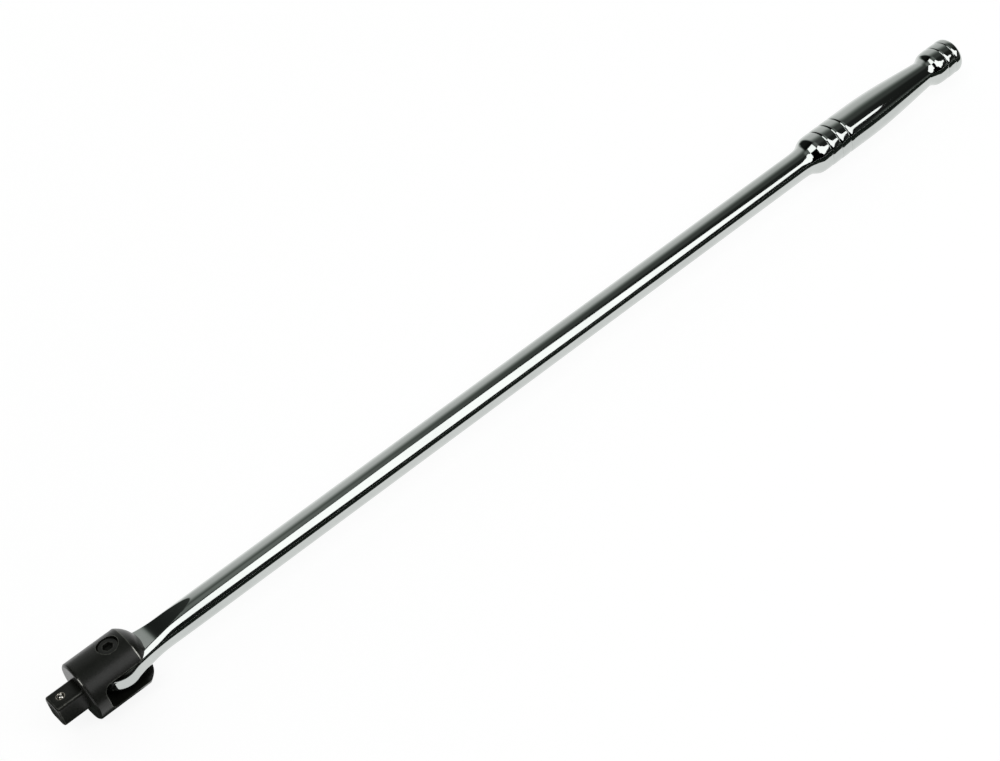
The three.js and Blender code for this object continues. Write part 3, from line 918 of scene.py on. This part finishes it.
def screw_material():
    """Black-oxide screw, a little glossier than the head, with wear on its head rim and socket edge."""
    material, tree, shader, where = new_material("black_screw")
    x, y, z = split(tree, where)
    from_pivot = length_of(tree, minus(tree, x, PIVOT_X), y)
    below_rims = math_node(tree, "LESS_THAN", z, SCREW_SEAT + 2.8 * MM)
    head_rim = away_from(tree, from_pivot, 5.0 * MM)
    socket_rim = away_from(tree, from_pivot, 2.9 * MM)
    edge = plus(tree, smaller(tree, head_rim, socket_rim), below_rims)
    wear = use_group(tree, EDGE_WEAR, where, Distance=edge, Reach=0.5 * MM, Grain=900.0)["Mask"]
    broad = noise(tree, where, 420.0, 4.0, 0.6)
    tone = mix_colour(tree, broad, (0.007, 0.008, 0.007, 1), (0.021, 0.022, 0.019, 1))
    tone = mix_colour(tree, times(tree, wear, 0.6), tone, (0.12, 0.12, 0.11, 1))
    tree.links.new(tone, shader.inputs["Base Color"])
    tree.links.new(larger(tree, wear, 0.3), shader.inputs["Metallic"])
    tree.links.new(plus(tree, times(tree, broad, 0.2), 0.26), shader.inputs["Roughness"])
    bump(tree, shader, broad, 0.2, 0.00005)
    return material


def steel_material(name, dark, light, rough, grain):
    """Bare steel: slow colour change between two tones, fine grain in the gloss and the normal."""
    material, tree, shader, where = new_material(name)
    shader.inputs["Metallic"].default_value = 1.0
    broad = noise(tree, where, grain, 4.0, 0.6)
    fine = noise(tree, where, grain * 9, 2.0, 0.6)
    tree.links.new(mix_colour(tree, broad, dark, light), shader.inputs["Base Color"])
    tree.links.new(plus(tree, times(tree, fine, rough), rough * 0.6), shader.inputs["Roughness"])
    bump(tree, shader, fine, 0.15, 0.00003)
    return material


# ---------------------------------------------------------------- the object's pieces
def fit_out(piece, body, node, material):
    """Gives a piece its finish and its body, and hides the CAD node that it stands for."""
    piece.data.materials.clear()
    piece.data.materials.append(material)
    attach(piece, body)
    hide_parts(node)


CHROME = chrome_material()
PHOSPHATE = phosphate_material()
SCREW = screw_material()
BALL_STEEL = steel_material("bright_ball", (0.66, 0.63, 0.58, 1), (0.80, 0.78, 0.74, 1), 0.12, 700.0)
SPRING_STEEL = steel_material("spring_steel", (0.30, 0.30, 0.28, 1), (0.46, 0.45, 0.42, 1), 0.3, 500.0)

fit_out(build_handle_bar(), "bar", "handle_bar", CHROME)
fit_out(build_drive_head(), "head", "drive_head", PHOSPHATE)
fit_out(build_pivot_screw(), "head", "pivot_screw", SCREW)
for side in ("upper", "lower"):
    washer = build_washer(f"{side}_friction_washer", f"{side}_spring_washer")
    fit_out(washer, "head", f"{side}_friction_washer", SPRING_STEEL)
for ball in ("socket_ball", "detent_ball"):
    fit_out(build_ball(ball, f"{ball}_bright"), ball, ball, BALL_STEEL)
socket_coil = build_spring("socket_ball_spring", "socket_ball_coil", "Z", 1.72 * MM, 0.25 * MM, 4.5)
fit_out(socket_coil, "head", "socket_ball_spring", SPRING_STEEL)
detent_coil = build_spring("detent_spring", "detent_coil", "X", 1.45 * MM, 0.22 * MM, 5)
fit_out(detent_coil, "bar", "detent_spring", SPRING_STEEL)


# ---------------------------------------------------------------- camera
def view_axes():
    """Right, up and back of the camera in the part's frame.

    The bar leans away from the image plane by the lean towards its grip, crosses the frame at the
    slope above the horizontal, and is rolled so that the pivot stands at the roll from the line of
    sight.
    """
    lean, slope, roll = np.radians([22.03, 36.29, 45.0])
    along = np.array([np.cos(slope), np.sin(slope), 0])
    across = np.array([np.sin(slope), -np.cos(slope), 0])
    toward = np.array([0, 0, 1.0])
    bar_axis = np.cos(lean) * along - np.sin(lean) * toward
    facing = toward - (toward @ bar_axis) * bar_axis
    facing /= np.linalg.norm(facing)
    pivot_axis = np.cos(roll) * facing - np.sin(roll) * across
    row_axes = np.stack([bar_axis, np.cross(pivot_axis, bar_axis), pivot_axis], axis=1)
    return row_axes, bar_axis, across


def make_camera():
    """Camera on the line through a point of the bar's axis, a set distance away."""
    row_axes, bar_axis, across = view_axes()
    distance = 1.0993
    focus_x = 283.4 * MM
    side_shift = 1.785 * MM
    origin = side_shift * across + np.array([0, 0, -distance]) - focus_x * bar_axis
    place = row_axes.T @ -origin
    data = bpy.data.cameras.new("camera")
    data.sensor_width = 36.0
    data.lens = 75.6
    data.clip_start = 0.01
    camera = bpy.data.objects.new("camera", data)
    matrix = np.eye(4)
    matrix[:3, :3] = row_axes.T
    matrix[:3, 3] = place
    camera.matrix_world = Matrix(matrix.tolist())
    bpy.context.scene.collection.objects.link(camera)
    bpy.context.scene.camera = camera


# ---------------------------------------------------------------- floor and light
def plain_emission(name, colour, strength):
    """Material that glows evenly in one colour, for the stage's cards."""
    material = bpy.data.materials.new(name)
    material.use_nodes = True
    tree = material.node_tree
    tree.nodes.clear()
    glow = tree.nodes.new("ShaderNodeEmission")
    glow.inputs["Color"].default_value = (*colour, 1)
    glow.inputs["Strength"].default_value = strength
    leave = tree.nodes.new("ShaderNodeOutputMaterial")
    tree.links.new(glow.outputs[0], leave.inputs["Surface"])
    return material


def sheet(name, corners_grid, material, camera=False, diffuse=True):
    """Open card for the stage, from a grid of points."""
    quads = grid_quads(*corners_grid.shape[:2], cols_wrap=False)
    mesh = bpy.data.meshes.new(name)
    mesh.from_pydata(corners_grid.reshape(-1, 3).tolist(), [], quads)
    mesh.materials.append(material)
    card = placed(name, mesh)
    card.visible_camera = camera
    card.visible_shadow = False
    card.visible_diffuse = diffuse
    card.visible_transmission = False
    return card


def rectangle(x_ends, y_ends, height):
    """Corner points of a level rectangle."""
    x, y = np.meshgrid(x_ends, y_ends, indexing="ij")
    return np.stack([x, y, np.full((2, 2), height)], axis=-1)


def make_floor():
    """Plain white floor that glows a little, so that what stands on it casts only a faint shade."""
    material, _, shader, _ = new_material("floor_white")
    shader.inputs["Base Color"].default_value = (0.16, 0.16, 0.16, 1)
    shader.inputs["Roughness"].default_value = 0.8
    shader.inputs["Specular IOR Level"].default_value = 0.0
    shader.inputs["Emission Color"].default_value = (1.0, 1.0, 1.0, 1)
    shader.inputs["Emission Strength"].default_value = 0.895
    ends = (-6.0, 6.0)
    floor = sheet("floor", rectangle(ends, ends, FLOOR_Z), material, camera=True)
    floor.visible_shadow = True


def direction(elevation):
    """Direction across the bar at an elevation in degrees, measured up from the camera's side."""
    angle = np.radians(elevation)
    return np.stack([0 * angle, -np.cos(angle), np.sin(angle)], axis=-1)


def make_softbox():
    """Long card over the bar on the camera's side, narrowing towards the grip. Its two edges are
    given as [place along the bar in metres, elevation in degrees]."""
    distance = 2.0
    start, end = 0.15, 2.2
    upper_edge = [
        [start, 62], [0.45, 62], [0.55, 64.5], [0.89, 68], [1.08, 65], [1.17, 62.5], [1.27, 57],
        [1.47, 51], [1.65, 44.5], [1.73, 42.2], [2.12, 41.5], [end, 39],
    ]
    lower_edge = [
        [start, 28], [0.45, 28], [0.55, 24.5], [0.89, 13.5], [1.08, 11.7], [1.27, 11.2], [1.47, 14.8],
        [1.65, 19], [1.73, 22], [1.89, 29], [2.12, 29.6], [end, 34],
    ]
    x = np.linspace(start, end, 70)
    upper = np.interp(x, *np.transpose(upper_edge))[:, None]
    lower = np.interp(x, *np.transpose(lower_edge))[:, None]
    share = np.linspace(0, 1, 11)
    points = direction(lower + (upper - lower) * share) * distance
    points[..., 0] = x[:, None]
    sheet("softbox", points, plain_emission("softbox_glow", (1.0, 1.0, 1.0), 1.65))


def make_dark_cards():
    """Three black cards just above the floor, seen only in reflections: a long one on the camera's
    side, an oval under the head and a rectangle under the square. The oval and the rectangle are
    painted shadow, for the shade that the head and the square would cast on the glowing floor."""
    black = plain_emission("flag_black", (0.012, 0.016, 0.013), 1.0)
    flag = rectangle((-1.5, 3.5), (-0.046, -2.5), FLOOR_Z + 1.0 * MM)
    sheet("flag", flag, black, diffuse=False)

    # painted shadow: the oval and the rectangle stand for the head's and the square's shade on the floor
    low_place = FLOOR_Z + 0.5 * MM
    turn = np.linspace(0, TAU, 33)[:, None]
    radius = np.array([0.0, 17.0 * MM])
    oval_x = 24 * MM + 1.3 * radius * np.cos(turn)
    oval = np.stack([oval_x, radius * np.sin(turn), np.full((33, 2), low_place)], axis=-1)
    sheet("shade_under_head", oval, black, diffuse=False)

    under_square = rectangle((-16.0 * MM, 14.5 * MM), (-31.0 * MM, 24.0 * MM), low_place)
    sheet("shade_under_square", under_square, black, diffuse=False)


def make_lights():
    """Broad soft lamps for the floor and the dark head, not seen in the chrome."""
    aim = Vector((0.3, 0.0, 0.0))
    lamps = [
        ("overhead", (0.3, -0.1, 1.6), 2.6, 9.0),
        ("behind", (0.2, 1.4, 0.9), 1.6, 5.0),
    ]
    for name, place, size, power in lamps:
        data = bpy.data.lights.new(name, "AREA")
        data.shape = "SQUARE"
        data.size = size
        data.energy = power
        lamp = bpy.data.objects.new(name, data)
        lamp.location = place
        lamp.rotation_euler = (aim - Vector(place)).to_track_quat("-Z", "Y").to_euler()
        lamp.visible_glossy = False
        bpy.context.scene.collection.objects.link(lamp)


def window(tree, value, rise, fall, most=1.0):
    """Climbs smoothly from 0 to most over one range of a value, and falls to 0 over a later one."""
    return times(tree, ramp(tree, value, *rise, 0.0, most), ramp(tree, value, *fall, 1.0, 0.0))


def make_world():
    """Studio round the bar, set by the direction looked in.

    Its tone follows the elevation across the bar: dark on the camera's side and overhead, then a
    pale sweep behind that fades out towards the head's end. A second soft light hangs overhead
    towards the head's end, its spill is a grey haze beside it, and a faint glow lies low towards
    the grip's end.
    """
    world = bpy.data.worlds.new("studio")
    bpy.context.scene.world = world
    world.use_nodes = True
    tree = world.node_tree
    x, y, z = split(tree, tree.nodes.new("ShaderNodeTexCoord").outputs["Generated"])
    turn = math_node(tree, "ARCTAN2", z, times(tree, y, -1.0))
    degrees = times(tree, turn, 180 / np.pi)
    tones = tree.nodes.new("ShaderNodeValToRGB")
    tree.links.new(math_node(tree, "DIVIDE", degrees, 180.0), tones.inputs["Fac"])
    stops = [
        (0.0, 0.012), (66.0, 0.02), (78.0, 0.062), (95.0, 0.068), (104.0, 0.13), (113.0, 0.27),
        (122.0, 0.47), (132.0, 0.61), (155.0, 0.70), (169.0, 0.81), (180.0, 0.92),
    ]
    elements = tones.color_ramp.elements
    while len(elements) < len(stops):
        elements.new(0.5)
    for element, (place, tone) in zip(elements, stops):
        element.position = place / 180
        element.color = (tone, tone, tone, 1)
    sweep = times(tree, tones.outputs["Color"], ramp(tree, x, 0.03, 0.26, 0.02, 1.0))
    sweep = times(tree, sweep, ramp(tree, x, 0.86, 0.94, 1.0, 0.1))
    lamp = times(tree, window(tree, x, (-0.75, -0.65), (-0.2, -0.14), 1.6),
                 window(tree, degrees, (60.0, 64.0), (95.0, 99.0)))
    haze = times(tree, window(tree, x, (-0.16, -0.1), (0.2, 0.42), 0.15),
                 window(tree, degrees, (66.0, 72.0), (88.0, 104.0)))
    low_glow = times(tree, ramp(tree, x, 0.52, 0.62, 0.0, 0.075),
                     window(tree, degrees, (-4.0, 0.0), (4.0, 16.0)))
    total = plus(tree, plus(tree, plus(tree, sweep, lamp), haze), low_glow)
    shade_tint, light_tint = (0.90, 1.0, 0.92, 1), (0.985, 1.0, 0.985, 1)
    tint = mix_colour(tree, ramp(tree, total, 0.05, 0.6, 0.0, 1.0), shade_tint, light_tint)
    background = tree.nodes["Background"]
    tree.links.new(tint, background.inputs["Color"])
    tree.links.new(total, background.inputs["Strength"])


make_camera()
make_floor()
make_softbox()
make_dark_cards()
make_lights()
make_world()

view = bpy.context.scene.view_settings
view.view_transform = "Standard"
view.look = "None"
